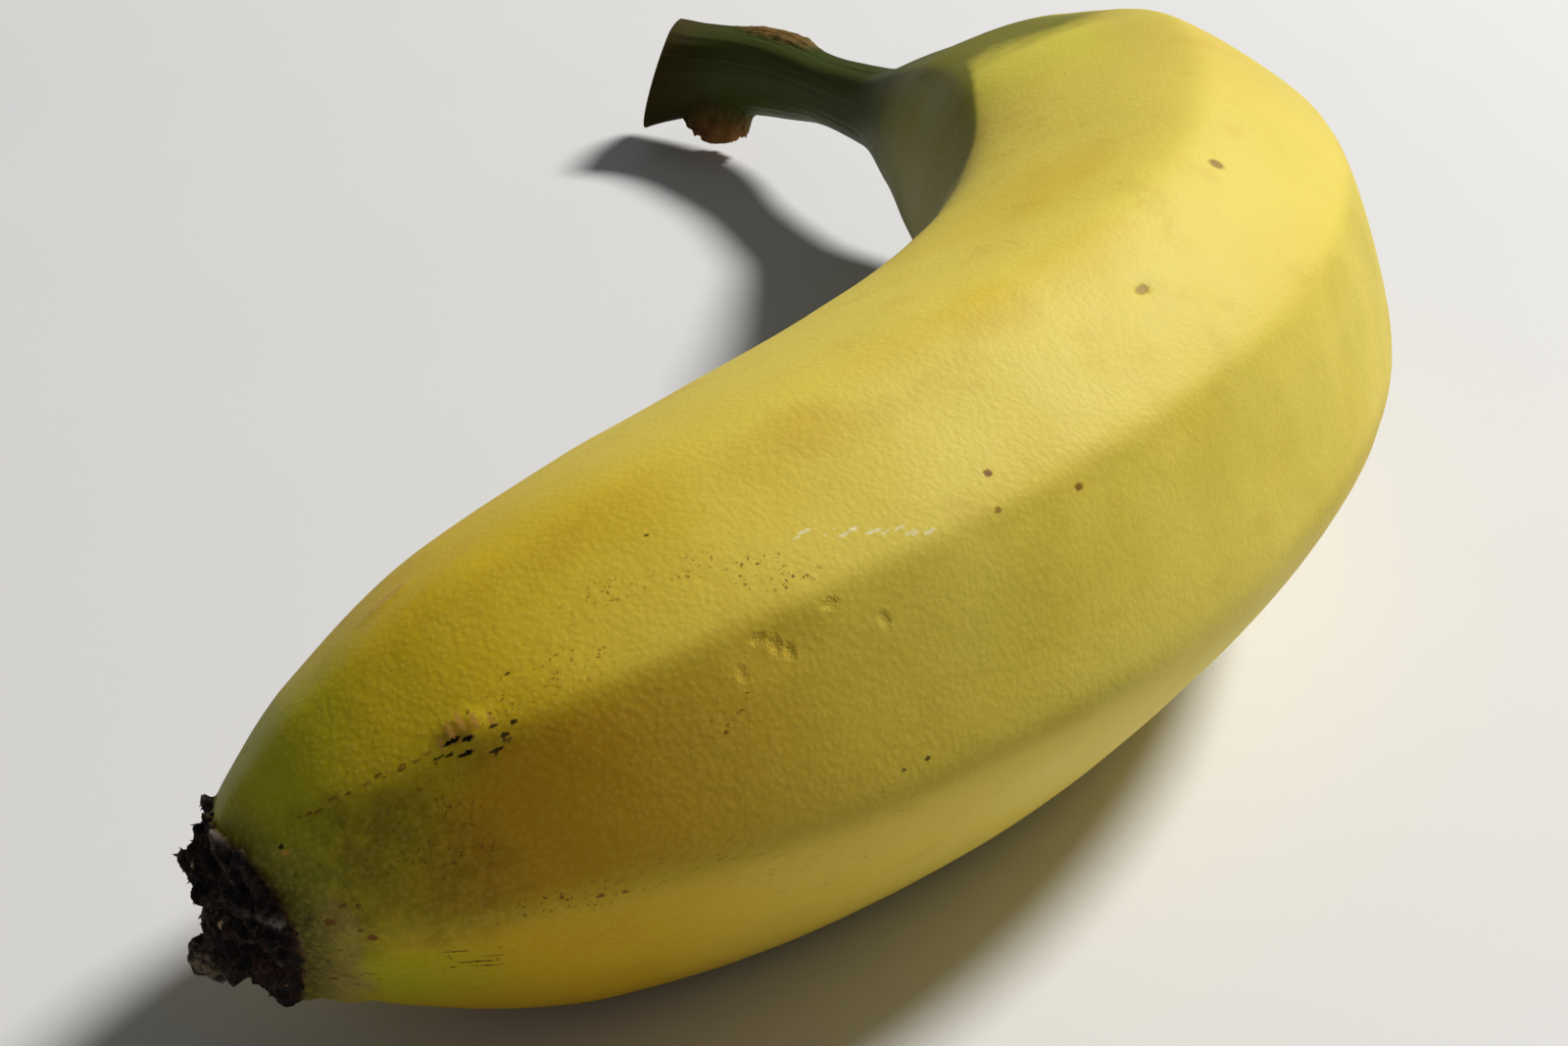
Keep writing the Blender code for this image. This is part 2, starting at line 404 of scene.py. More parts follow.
def crustEdge(tree, turn):
    # how far along the line the dry blossom end reaches
    lean = calc(tree, "COSINE", plus(tree, turn, math.radians(15)))
    leaning = calc(tree, "POWER", calc(tree, "MAXIMUM", lean, 0.0), 1.5)
    upper = calc(tree, "ABSOLUTE", minus(tree, turn, math.radians(128)))
    atTop = ramp(tree, upper, 0.75, 0.0, 0.0, peel["crustTop"])
    return total(tree, [times(tree, leaning, peel["crustLow"]), atTop, peel["crustEnd"]])


def areaMask(tree, place, turn, spot, strength, wobble):
    # one patch on the skin, solid in the middle and fading out with an uneven edge
    far = squaredDistance(tree, place, turn, spot)
    return ramp(tree, plus(tree, far, wobble), 1.6, 0.1, 0.0, strength)


def areaMasks(tree, place, turn, kind, wobble):
    return strongest(tree, [areaMask(tree, place, turn, spot, spot[4], wobble) for spot in patches[kind]])


def peelTree():
    tree = bpy.data.node_groups.new("growPeel", "GeometryNodeTree")
    addInput(tree, "Growth line", "NodeSocketGeometry")
    addInput(tree, "Rings", "NodeSocketInt", peel["rings"])
    addInput(tree, "Spokes", "NodeSocketInt", peel["spokes"])
    addInput(tree, "Up", "NodeSocketVector")
    addInput(tree, "Twist", "NodeSocketFloat", math.radians(peel["twist"]))
    addInput(tree, "Sag", "NodeSocketFloat", peel["sag"])
    addInput(tree, "Dimple", "NodeSocketFloat", peel["dimple"])
    addInput(tree, "Crust", "NodeSocketFloat", peel["crust"])
    addInput(tree, "Peel", "NodeSocketMaterial")
    addInput(tree, "Cut face", "NodeSocketMaterial")
    tree.interface.new_socket(name="Skin", in_out="OUTPUT", socket_type="NodeSocketGeometry")
    given = addNode(tree, "NodeGroupInput").outputs
    away = addNode(tree, "NodeGroupOutput")

    grid = addNode(tree, "GeometryNodeMeshGrid")
    feed(tree, grid.inputs["Vertices X"], given["Rings"])
    feed(tree, grid.inputs["Vertices Y"], given["Spokes"])
    spread = partsOf(tree, addNode(tree, "GeometryNodeInputPosition").outputs[0])
    keep = addNode(tree, "GeometryNodeCaptureAttribute")
    keep.capture_items.new("FLOAT", "Row")
    keep.capture_items.new("FLOAT", "Turn")
    feed(tree, keep.inputs["Geometry"], grid.outputs["Mesh"])
    feed(tree, keep.inputs["Row"], plus(tree, spread["X"], 0.5))
    share = plus(tree, spread["Y"], 0.5)
    fullTurn = times(tree, share, 2 * math.pi)
    feed(tree, keep.inputs["Turn"], plus(tree, fullTurn, math.radians(peel["seam"])))
    row, turn = keep.outputs["Row"], keep.outputs["Turn"]

    # rows to places along the line: a bulge past its start, and the last rows on the cut
    upTo = calc(tree, "MINIMUM", calc(tree, "DIVIDE", row, peel["cutStart"]), 1.0)
    crowd = calc(tree, "SINE", times(tree, upTo, 2 * math.pi))
    even = minus(tree, upTo, times(tree, crowd, peel["crowding"] / (2 * math.pi)))
    reach = peel["tipReach"]
    place = minus(tree, times(tree, even, growth["cut"] + reach), reach)
    onLine = calc(tree, "MAXIMUM", place, 0.0)
    pastCut = minus(tree, row, peel["cutStart"])
    cutShare = calc(tree, "DIVIDE", pastCut, 1 - peel["cutStart"], clamp=True)

    sample = addNode(tree, "GeometryNodeSampleCurve", mode="FACTOR", use_all_curves=True)
    feed(tree, sample.inputs["Curves"], given["Growth line"])
    feed(tree, sample.inputs["Value"], addNode(tree, "GeometryNodeInputRadius").outputs[0])
    feed(tree, sample.inputs["Factor"], onLine)
    ahead = sample.outputs["Tangent"]
    outward = vectorCalc(tree, "CROSS_PRODUCT", ahead, given["Up"])

    # the blossom end closes like the end of an egg, and the cut closes flat
    closing = calc(tree, "DIVIDE", plus(tree, place, reach), reach + peel["tipRound"], clamp=True)
    dome = calc(tree, "POWER", minus(tree, 1.0, closing), 2.4)
    egg = calc(tree, "POWER", minus(tree, 1.0, dome), 1 / 2.0)
    closed = times(tree, egg, minus(tree, 1.0, cutShare))
    radius = times(tree, sample.outputs["Value"], sectionShape(tree, turn, place))
    radius = times(tree, radius, closed)

    swirl = times(tree, minus(tree, onLine, peel["twistZero"]), given["Twist"])
    angle = plus(tree, turn, swirl)
    sideways = vectorCalc(tree, "SCALE", outward, calc(tree, "COSINE", angle))
    upwards = vectorCalc(tree, "SCALE", given["Up"], calc(tree, "SINE", angle))
    side = vectorCalc(tree, "ADD", sideways, upwards)
    past = times(tree, calc(tree, "MINIMUM", place, 0.0), growth["length"])
    leanOut = times(tree, calc(tree, "COSINE", angle), math.tan(math.radians(peel["slant"])))
    leanUp = times(tree, calc(tree, "SINE", angle), math.tan(math.radians(peel["rise"])))
    leanShare = ramp(tree, place, growth["cut"] - 0.045, growth["cut"])
    lean = times(tree, times(tree, plus(tree, leanOut, leanUp), radius), leanShare)
    onward = vectorCalc(tree, "SCALE", ahead, plus(tree, past, lean))
    smooth = vectorCalc(tree, "ADD", sample.outputs["Position"], vectorCalc(tree, "SCALE", side, radius))
    smooth = vectorCalc(tree, "ADD", smooth, onward)

    # relief, square to the skin: sag, dimples, hollows, stem furrows, crust lumps, torn places
    edge = plus(tree, crustEdge(tree, turn), swing(tree, smooth, 900, 0.0024, 4.0, 0.6))
    onCrust = ramp(tree, minus(tree, place, edge), 0.0016, -0.0010)
    onStem = ramp(tree, place, 0.72, 0.80)
    across, upright = calc(tree, "SINE", turn), calc(tree, "COSINE", turn)
    roundWay = vectorOf(tree, times(tree, place, 0.9), across, upright)
    sagging = times(tree, swing(tree, smooth, peel["sagScale"], 1.0, 1.0), given["Sag"])
    dimpling = times(tree, swing(tree, smooth, peel["dimpleScale"], 1.0, 2.0), given["Dimple"])
    furrows = times(tree, swing(tree, roundWay, 5.0, peel["groove"], 4.0, 0.6), onStem)
    folds = calc(tree, "ABSOLUTE", swing(tree, smooth, 330, 2.0, 2.0))
    crumbs = swing(tree, smooth, 1500, 0.45, 3.0, 0.65)
    lumps = total(tree, [swing(tree, smooth, 400, 0.8, 2.0), folds, crumbs])
    crackle = cells(tree, smooth, 620, "DISTANCE_TO_EDGE").outputs["Distance"]
    lumps = plus(tree, lumps, ramp(tree, crackle, 0.0, 0.25, -0.35, 0.25))
    crusting = times(tree, times(tree, lumps, given["Crust"]), onCrust)
    raised = times(tree, onCrust, 0.00022)
    frayed = swing(tree, smooth, 1100, 0.9, 4.0, 0.65)
    torn = strongest(tree, [areaMask(tree, place, turn, spot, spot[5], frayed) for spot in tears])
    proud = strongest(tree, [areaMask(tree, place, turn, spot, spot[4] * mm, frayed) for spot in tears])
    shreds = plus(tree, swing(tree, roundWay, 14.0, 0.6, 3.0, 0.7), 0.9)
    tearing = times(tree, proud, shreds)
    relief = total(tree, [sagging, dimpling, furrows, crusting, raised, tearing])
    relief = minus(tree, relief, hollowDepth(tree, place, turn))
    cutGrain = swing(tree, smooth, 700, 0.00035, 4.0, 0.6)
    cutRelief = times(tree, ramp(tree, cutShare, 0.0, 0.35), cutGrain)
    hollow = ramp(tree, cutShare, 0.15, 0.7, 0.0, -0.0007)

    shaped = addNode(tree, "GeometryNodeSetPosition")
    feed(tree, shaped.inputs["Geometry"], keep.outputs["Geometry"])
    feed(tree, shaped.inputs["Position"], smooth)
    notCut = calc(tree, "LESS_THAN", cutShare, 0.001)
    awaySide = vectorCalc(tree, "SCALE", side, times(tree, relief, notCut))
    awayTip = vectorCalc(tree, "SCALE", ahead, times(tree, crusting, -1.0))
    onTip = ramp(tree, closing, 0.9, 0.2)
    awayCut = vectorCalc(tree, "SCALE", ahead, plus(tree, cutRelief, hollow))
    offset = vectorCalc(tree, "ADD", awaySide, vectorCalc(tree, "SCALE", awayTip, onTip))
    offset = vectorCalc(tree, "ADD", offset, awayCut)
    rough = addNode(tree, "GeometryNodeSetPosition")
    feed(tree, rough.inputs["Geometry"], shaped.outputs[0])
    feed(tree, rough.inputs["Offset"], offset)

    # what the finishes read: a map along and round the fruit, where the crust is, where the cut is
    last = rough.outputs[0]
    fromSeam = minus(tree, turn, math.radians(peel["seam"]))
    mapPoint = vectorOf(tree, place, calc(tree, "DIVIDE", fromSeam, 2 * math.pi))
    uneven = swing(tree, smooth, 380, 0.9, 4.0, 0.6)
    areas = [(kind, "FLOAT", "POINT", areaMasks(tree, place, turn, kind, uneven)) for kind in patches]
    for name, kind, domain, value in (
        ("peelMap", "FLOAT2", "CORNER", mapPoint),
        ("crust", "FLOAT", "POINT", onCrust),
        ("lumps", "FLOAT", "POINT", lumps),
        ("rim", "FLOAT", "POINT", ramp(tree, minus(tree, place, edge), 0.0150, 0.0)),
        ("torn", "FLOAT", "POINT", torn),
        ("cut", "FLOAT", "POINT", cutShare),
        *areas,
    ):
        store = addNode(tree, "GeometryNodeStoreNamedAttribute", data_type=kind, domain=domain)
        feed(tree, store.inputs["Geometry"], last)
        feed(tree, store.inputs["Name"], name)
        feed(tree, store.inputs["Value"], value)
        last = store.outputs[0]
    weld = addNode(tree, "GeometryNodeMergeByDistance")
    feed(tree, weld.inputs["Geometry"], last)
    feed(tree, weld.inputs["Distance"], 0.000002)
    smoothed = addNode(tree, "GeometryNodeSetShadeSmooth")
    feed(tree, smoothed.inputs["Geometry"], weld.outputs[0])
    whole = addNode(tree, "GeometryNodeRealizeInstances")
    feed(tree, whole.inputs[0], smoothed.outputs[0])
    skinOn = addNode(tree, "GeometryNodeSetMaterial")
    feed(tree, skinOn.inputs["Geometry"], whole.outputs[0])
    feed(tree, skinOn.inputs["Material"], given["Peel"])
    cutOn = addNode(tree, "GeometryNodeSetMaterial")
    feed(tree, cutOn.inputs["Geometry"], skinOn.outputs[0])
    feed(tree, cutOn.inputs["Selection"], calc(tree, "GREATER_THAN", cutShare, 0.02))
    feed(tree, cutOn.inputs["Material"], given["Cut face"])
    feed(tree, away.inputs[0], cutOn.outputs[0])
    return tree


def setInput(modifier, name, value):
    for item in modifier.node_group.interface.items_tree:
        if item.item_type == "SOCKET" and item.in_out == "INPUT" and item.name == name:
            modifier[item.identifier] = value


def bake(grower, name):
    # the grown shape as a plain mesh of its own
    graph = bpy.context.evaluated_depsgraph_get()
    mesh = bpy.data.meshes.new_from_object(grower.evaluated_get(graph))
    mesh.name = name
    piece = bpy.data.objects.new(name, mesh)
    bpy.context.scene.collection.objects.link(piece)
    bpy.data.objects.remove(grower)
    return piece


def facesOut(mesh):
    # a closed shape's faces point out when its volume is positive
    shape = bmesh.new()
    shape.from_mesh(mesh)
    bmesh.ops.recalc_face_normals(shape, faces=shape.faces)
    if shape.calc_volume(signed=True) < 0:
        bmesh.ops.reverse_faces(shape, faces=shape.faces)
    shape.to_mesh(mesh)
    shape.free()


def growPeel(outside, cutFace):
    line = makeGrowthLine()
    grow = line.modifiers.new("growPeel", "NODES")
    grow.node_group = peelTree()
    setInput(grow, "Up", tuple(layDown() @ Vector((0, 0, 1))))
    setInput(grow, "Peel", outside)
    setInput(grow, "Cut face", cutFace)
    return bake(line, "banana_skin")


def settle(piece):
    # to its place on the table, pressed slightly flat where it bears
    shift = Vector(growth["settled"]) * mm
    piece.data.transform(Matrix.Translation(shift))
    for vert in piece.data.vertices:
        vert.co.z = max(vert.co.z, cadBox[0].z)
    return shift


# finishes

def startFinish(name):
    finish = bpy.data.materials.new(name)
    finish.use_nodes = True
    tree = finish.node_tree
    return finish, tree, tree.nodes["Principled BSDF"]


def blend(tree, share, first, second):
    node = addNode(tree, "ShaderNodeMix", data_type="RGBA")
    for socket, value in zip((node.inputs[0], node.inputs[6], node.inputs[7]), (share, first, second)):
        feed(tree, socket, value)
    return node.outputs[2]


def colour(red, green, blue):
    return (red, green, blue, 1.0)


ripeness = {
    # the sound peel, from the middle of the fruit to its ends
    "pale": colour(0.81, 0.655, 0.105), "farPale": colour(0.66, 0.520, 0.090),
    "ripe": colour(0.73, 0.500, 0.014), "golden": colour(0.50, 0.240, 0.003),
    "blotch": colour(0.70, 0.390, 0.008), "olive": colour(0.42, 0.345, 0.012),
    # the neck strip colour is a painted highlight: the lit top of the neck's upper ridge, painted paler
    "tipGreen": colour(0.42, 0.405, 0.005), "neckRidgeHighlight": colour(0.78, 0.70, 0.08),
    # the neck's green is its own colour, darkened further as painted shade for the inner side of the neck
    "neckGreenAndShade": colour(0.21, 0.195, 0.014), "outerGreen": colour(0.36, 0.37, 0.018),
    # the stem colour is its own dark green, darkened further as painted shade
    "stemGreenAndShade": colour(0.040, 0.055, 0.006),
    # marks
    "bruise": colour(0.044, 0.034, 0.006),
    "scab": colour(0.012, 0.006, 0.003), "rust": colour(0.21, 0.075, 0.007),
    "tan": colour(0.64, 0.34, 0.05), "faded": colour(0.34, 0.24, 0.07),
    # the wax colour is a painted glint, a near-white highlight
    "wax": colour(0.92, 0.86, 0.55),
    # torn places on the stem
    "wetWood": colour(0.11, 0.040, 0.012), "dryWood": colour(0.40, 0.19, 0.055),
    # the rim of the blossom end, and its crust
    "rimShade": colour(0.055, 0.042, 0.010), "rim": colour(0.085, 0.034, 0.020),
    "soot": colour(0.011, 0.0080, 0.0070), "ash": colour(0.075, 0.058, 0.050),
    # the worn crust colour is a painted highlight on the crust's raised folds
    "warmCrust": colour(0.050, 0.018, 0.013), "crustFoldHighlight": colour(0.17, 0.140, 0.125),
    "straw": colour(0.46, 0.32, 0.16),
    # darker lines along the ridges: degrees round, degrees wide, strength
    "ridgeLines": ((-80, 6, 0.4), (-5, 5, 0.3), (34, 4, 0.20), (132, 7, 0.3)),
    "roughness": 0.56, "pebbleScale": 3100.0, "pebbleHeight": 0.000030,
}


def spotMask(tree, mapPoint, spot, edge):
    # one small mark: the map's point measured from the mark's middle, in the mark's own lengths
    along, around, long, wide, strength = spot
    place = along * mm / growth["length"]
    off = vectorCalc(tree, "SUBTRACT", mapPoint, (place, (around - peel["seam"]) / 360, 0))
    perHalf = (growth["length"] / (long * mm), 2 * math.pi * girthAt(place) / (wide * mm), 0)
    far = vectorCalc(tree, "LENGTH", vectorCalc(tree, "MULTIPLY", off, perHalf))
    return ramp(tree, far, *edge, 0.0, strength)


def kindMask(tree, mapPoint, kind, edge=(1.25, 0.6)):
    chosen = list(marks.get(kind, ())) + [spot for rowKind, spot in scatteredRows() if rowKind == kind]
    return strongest(tree, [spotMask(tree, mapPoint, spot, edge) for spot in chosen])


def cosineFrom(tree, turn, centre):
    # 1 where the turn in degrees is at the centre, -1 on the opposite side
    return calc(tree, "COSINE", times(tree, minus(tree, turn, centre), math.radians(1)))


def attribute(tree, name):
    return addNode(tree, "ShaderNodeAttribute", attribute_name=name).outputs["Fac"]


def scattered(tree, where, scale, density, size):
    # random specks: a share of the cells hold one, each its own size
    field = cells(tree, where, scale)
    pick = addNode(tree, "ShaderNodeSeparateColor")
    feed(tree, pick.inputs[0], field.outputs["Color"])
    reach = times(tree, pick.outputs[1], size)
    speck = ramp(tree, field.outputs["Distance"], reach, times(tree, reach, 0.55))
    return times(tree, speck, calc(tree, "LESS_THAN", pick.outputs[0], density))


def addBump(tree, shader, height, depth):
    bump = addNode(tree, "ShaderNodeBump")
    bump.inputs["Strength"].default_value = 0.8
    bump.inputs["Distance"].default_value = depth
    feed(tree, bump.inputs["Height"], height)
    feed(tree, shader.inputs["Normal"], bump.outputs[0])


def peelFinish():
    finish, tree, shader = startFinish("waxyPeel")
    where = addNode(tree, "ShaderNodeTexCoord").outputs["Object"]
    onMap = addNode(tree, "ShaderNodeUVMap", uv_map="peelMap").outputs[0]
    parts = partsOf(tree, onMap)
    alongMm = times(tree, parts["X"], growth["length"] / mm)
    turn = plus(tree, times(tree, parts["Y"], 360.0), peel["seam"])
    crust = attribute(tree, "crust")
    torn = attribute(tree, "torn")

    # a drawn-out pattern space: much longer along the fruit than across it
    across, upright = cosineFrom(tree, turn, 90), cosineFrom(tree, turn, 0)
    drawn = vectorOf(tree, times(tree, alongMm, 0.05), across, upright)

    # pale yellow on the far half, deeper and more golden towards the blossom end
    clouds = noise(tree, where, 38, 3.0, 0.55)
    mottle = noise(tree, where, 170, 4.0, 0.6)
    streaks = noise(tree, drawn, 4.0, 4.0, 0.6)
    paleness = plus(tree, alongMm, swing(tree, where, 38, 26.0))
    far = blend(tree, ramp(tree, paleness, 72, 98, 0.0, 0.8), ripeness["pale"], ripeness["farPale"])
    base = blend(tree, ramp(tree, paleness, 42, 14), far, ripeness["ripe"])
    base = blend(tree, times(tree, ramp(tree, clouds, 0.48, 0.70), 0.35), base, ripeness["ripe"])
    base = blend(tree, times(tree, ramp(tree, streaks, 0.52, 0.72), 0.16), base, ripeness["golden"])
    base = blend(tree, times(tree, attribute(tree, "blotch"), 0.30), base, ripeness["blotch"])

    # the face towards the outer bend is duller, and golden brown near the tip: partly its own colour and
    # partly painted shade, as that face is turned from the light; lines along the ridges
    front = times(tree, ramp(tree, turn, -9, 2), ramp(tree, turn, 39, 31))
    frontGoldAndShade = times(tree, front, ramp(tree, alongMm, 44, 8))
    base = blend(tree, times(tree, frontGoldAndShade, 0.85), base, ripeness["golden"])
    frontOliveAndShade = times(tree, front, ramp(tree, mottle, 0.25, 0.75, 0.14, 0.40))
    frontOliveAndShade = times(tree, frontOliveAndShade, ramp(tree, alongMm, 14, 40))
    base = blend(tree, frontOliveAndShade, base, ripeness["olive"])
    lowGold = times(tree, ramp(tree, turn, 2, -12), ramp(tree, alongMm, 44, 10, 0.0, 0.5))
    base = blend(tree, lowGold, base, ripeness["golden"])
    ridgeLines = []
    for ridge, width, strength in ripeness["ridgeLines"]:
        off = calc(tree, "ABSOLUTE", minus(tree, turn, ridge))
        ridgeLines.append(ramp(tree, off, width, 0.0, 0.0, strength))
    ridgeShare = times(tree, strongest(tree, ridgeLines), ramp(tree, clouds, 0.3, 0.62))
    base = blend(tree, ridgeShare, base, ripeness["olive"])

    # green at both ends
    tipEnd = plus(tree, times(tree, cosineFrom(tree, turn, 60), 1.8), 6.6)
    below = ramp(tree, calc(tree, "ABSOLUTE", minus(tree, turn, -38)), 34, 6, 0.0, 2.2)
    tipEnd = total(tree, [tipEnd, below, swing(tree, where, 170, 5.0, 4.0)])
    tipGreen = ramp(tree, minus(tree, alongMm, tipEnd), 5.6, -4.2, 0.0, 0.97)
    base = blend(tree, tipGreen, base, ripeness["tipGreen"])
    stemEdge = plus(tree, alongMm, swing(tree, drawn, 2.5, 7.0))
    inner = ramp(tree, calc(tree, "ABSOLUTE", minus(tree, turn, 170)), 44, 34)
    # painted highlight: a paler yellow strip along the neck's upper ridge, where light catches it
    ridgeHighlightShare = times(tree, ramp(tree, alongMm, 90, 102), ramp(tree, turn, 84, 100))
    base = blend(tree, times(tree, ridgeHighlightShare, 0.7), base, ripeness["neckRidgeHighlight"])
    greeningAndShade = plus(tree, stemEdge, times(tree, inner, 32.0))
    topSide = ramp(tree, cosineFrom(tree, turn, 150), 0.2, 0.5)
    outside = minus(tree, 1.0, topSide)
    base = blend(tree, times(tree, ramp(tree, stemEdge, 94, 138), outside), base, ripeness["outerGreen"])
    # the neck's own green on its inner side, darkened further as painted shade
    base = blend(tree, times(tree, ramp(tree, greeningAndShade, 106, 117), topSide), base, ripeness["neckGreenAndShade"])
    # the stem's own dark green, darkened further as painted shade
    base = blend(tree, ramp(tree, stemEdge, 118, 150), base, ripeness["stemGreenAndShade"])
    drying = ramp(tree, plus(tree, alongMm, swing(tree, where, 260, 5.0, 4.0, 0.6)), 176, 188)
    base = blend(tree, drying, base, ripeness["bruise"])

    # marks and patches, with uneven edges
    jog = addNode(tree, "ShaderNodeTexNoise")
    feed(tree, jog.inputs["Vector"], where)
    jog.inputs["Scale"].default_value = 5200
    jog.inputs["Detail"].default_value = 2.0
    jogged = vectorCalc(tree, "SUBTRACT", jog.outputs[1], (0.5, 0.5, 0.5))
    mapJog = vectorCalc(tree, "MULTIPLY", jogged, (0.0015, 0.0034, 0.0))
    mapPoint = vectorCalc(tree, "ADD", onMap, mapJog)
    nearby = vectorCalc(tree, "ADD", where, vectorCalc(tree, "SCALE", jogged, 0.00045))
    blotchy = ramp(tree, noise(tree, where, 900, 4.0, 0.65), 0.30, 0.62, 0.45, 1.0)
    bruises = times(tree, attribute(tree, "bruise"), blotchy)
    base = blend(tree, times(tree, bruises, 0.85), base, ripeness["bruise"])
    base = blend(tree, attribute(tree, "faded"), base, ripeness["faded"])
    specks = times(tree, attribute(tree, "speck"), scattered(tree, nearby, 3800, 0.85, 0.50))
    dashes = times(tree, attribute(tree, "dash"), scattered(tree, nearby, 2200, 0.34, 0.50))
    unsteady = times(tree, noise(tree, where, 1100, 2.0), 1.2)
    stretched = vectorOf(tree, times(tree, alongMm, 0.55), times(tree, turn, 0.9), unsteady)
    scratches = scattered(tree, stretched, 2.2, 0.42, 0.40)
    scuffs = times(tree, attribute(tree, "scuff"), scratches)
    strays = scattered(tree, nearby, 420, 0.16, 0.07)
    rusts = kindMask(tree, mapPoint, "rust")
    rusty = strongest(tree, [rusts, specks, times(tree, scuffs, 0.7), times(tree, strays, 0.6)])
    base = blend(tree, rusty, base, ripeness["rust"])
    base = blend(tree, kindMask(tree, mapPoint, "tan"), base, ripeness["tan"])
    # painted glint: near-white highlight dashes, on a streak that is also made glossier below
    glintShare = kindMask(tree, mapPoint, "wax")
    base = blend(tree, glintShare, base, ripeness["wax"])
    dark = strongest(tree, [kindMask(tree, mapPoint, "scab"), times(tree, dashes, 0.9)])
    base = blend(tree, dark, base, ripeness["scab"])
    tornWood = blend(tree, ramp(tree, mottle, 0.3, 0.7), ripeness["wetWood"], ripeness["dryWood"])
    base = blend(tree, torn, base, tornWood)

    # the dry blossom end, and the pinkish brown rim where it meets the peel
    rimShade = times(tree, attribute(tree, "rim"), ramp(tree, turn, 80, 40, 0.35, 0.85))
    base = blend(tree, rimShade, base, ripeness["rimShade"])
    rimWide = ramp(tree, crust, 0.0, 0.22)
    base = blend(tree, times(tree, rimWide, 0.75), base, ripeness["rim"])
    veins = noise(tree, where, 1200, 5.0, 0.66)
    charred = blend(tree, ramp(tree, veins, 0.52, 0.70), ripeness["soot"], ripeness["ash"])
    warm = ramp(tree, noise(tree, where, 800, 3.0, 0.6), 0.50, 0.66)
    charred = blend(tree, times(tree, warm, 0.55), charred, ripeness["warmCrust"])
    raisedPart = ramp(tree, attribute(tree, "lumps"), 0.45, 1.25)
    # painted highlight: paler grey on the crust's raised folds
    foldHighlightShare = times(tree, raisedPart, ramp(tree, veins, 0.40, 0.62))
    charred = blend(tree, times(tree, foldHighlightShare, 0.9), charred, ripeness["crustFoldHighlight"])
    charred = blend(tree, scattered(tree, nearby, 1500, 0.07, 0.42), charred, ripeness["straw"])
    base = blend(tree, ramp(tree, crust, 0.25, 0.7), base, charred)
    sound = minus(tree, 1.0, strongest(tree, [crust, torn, rusty, dark]), clamp=True)
    pebbles = cells(tree, where, ripeness["pebbleScale"], "SMOOTH_F1").outputs["Distance"]
    # painted sheen: the tops of the pebbles painted paler on sound peel, fading out past about 92 mm from
    # the tip
    pebbleSheenShare = times(tree, times(tree, ramp(tree, pebbles, 0.52, 0.18), sound), 0.12)
    pebbleSheenShare = times(tree, pebbleSheenShare, ramp(tree, alongMm, 112, 92))
    base = blend(tree, pebbleSheenShare, base, ripeness["pale"])
    feed(tree, shader.inputs["Base Color"], base)

    # waxy where sound, dull where dry
    dryParts = [ramp(tree, crust, 0.2, 0.7), dark, times(tree, bruises, 0.4), drying, torn]
    dull = strongest(tree, dryParts)
    gloss = plus(tree, ripeness["roughness"], swing(tree, where, 300, 0.07))
    gloss = plus(tree, gloss, times(tree, dull, 0.36))
    feed(tree, shader.inputs["Roughness"], minus(tree, gloss, times(tree, glintShare, 0.2)))
    shader.inputs["Specular IOR Level"].default_value = 0.15
    shader.inputs["Subsurface Weight"].default_value = 0.05
    shader.inputs["Subsurface Radius"].default_value = (0.0016, 0.0008, 0.0003)
    shader.inputs["Subsurface Scale"].default_value = 1.0

    # fine pebbling of the skin, faint lengthwise fibres, crumbly crust
    grain = noise(tree, where, 1300, 2.0)
    crumble = times(tree, veins, strongest(tree, [crust, torn]))
    dented = kindMask(tree, mapPoint, "dent", (1.7, 0.0))
    layers = ((pebbles, -1.0), (grain, 0.8), (streaks, 0.8), (crumble, 9.0), (dented, -4.2))
    height = total(tree, [times(tree, layer, amount) for layer, amount in layers])
    addBump(tree, shader, height, ripeness["pebbleHeight"])
    return finish


fibreHeight = 0.00025      # metres, of the dried parts' fibres
cutRimBrown = colour(0.022, 0.016, 0.010)      # where the stem's skin dried over the edge of the cut

# deep, pale and straw colours of each dried part, and how fine its fibres are
dryness = {
    "stemCut": (colour(0.030, 0.018, 0.010), colour(0.17, 0.095, 0.040), colour(0.30, 0.19, 0.085), 1400),
    "styleStub": (colour(0.020, 0.014, 0.010), colour(0.17, 0.125, 0.075), colour(0.34, 0.25, 0.13),
                  1900),
    "flake": (colour(0.010, 0.007, 0.006), colour(0.075, 0.045, 0.032), colour(0.22, 0.16, 0.10), 2600),
}


def driedFinish(name):
    # brittle dried tissue: dark, with paler fibres and a few straw coloured flecks
    finish, tree, shader = startFinish(name)
    deep, pale, straw, scale = dryness[name]
    where = addNode(tree, "ShaderNodeTexCoord").outputs["Object"]
    fibre = noise(tree, where, scale, 5.0, 0.68, 0.4)
    wood = blend(tree, ramp(tree, fibre, 0.42, 0.62), deep, pale)
    flecks = times(tree, scattered(tree, where, scale * 0.7, 0.45, 0.45), 0.7)
    wood = blend(tree, flecks, wood, straw)
    if name == "stemCut":
        nearRim = ramp(tree, attribute(tree, "cut"), 0.30, 0.05)
        wood = blend(tree, nearRim, wood, cutRimBrown)
    feed(tree, shader.inputs["Base Color"], wood)
    feed(tree, shader.inputs["Roughness"], ramp(tree, fibre, 0.3, 0.7, 0.92, 0.70))
    shader.inputs["Specular IOR Level"].default_value = 0.3
    addBump(tree, shader, fibre, fibreHeight)
    return finish


# what dried on to the blossom end

blossomEnd = {
    "stubOut": 1.5, "stubUp": -2.2, "stubPast": 1.2,     # mm out of the bend, up, past the line's start
    "stubLength": 0.0030, "stubRadius": 0.00112, "stubTilt": (14.0, -10.0),
    "flakes": 1.6e6, "flakeSize": (0.00010, 0.00030), "seed": 7,     # how many to a square metre
}


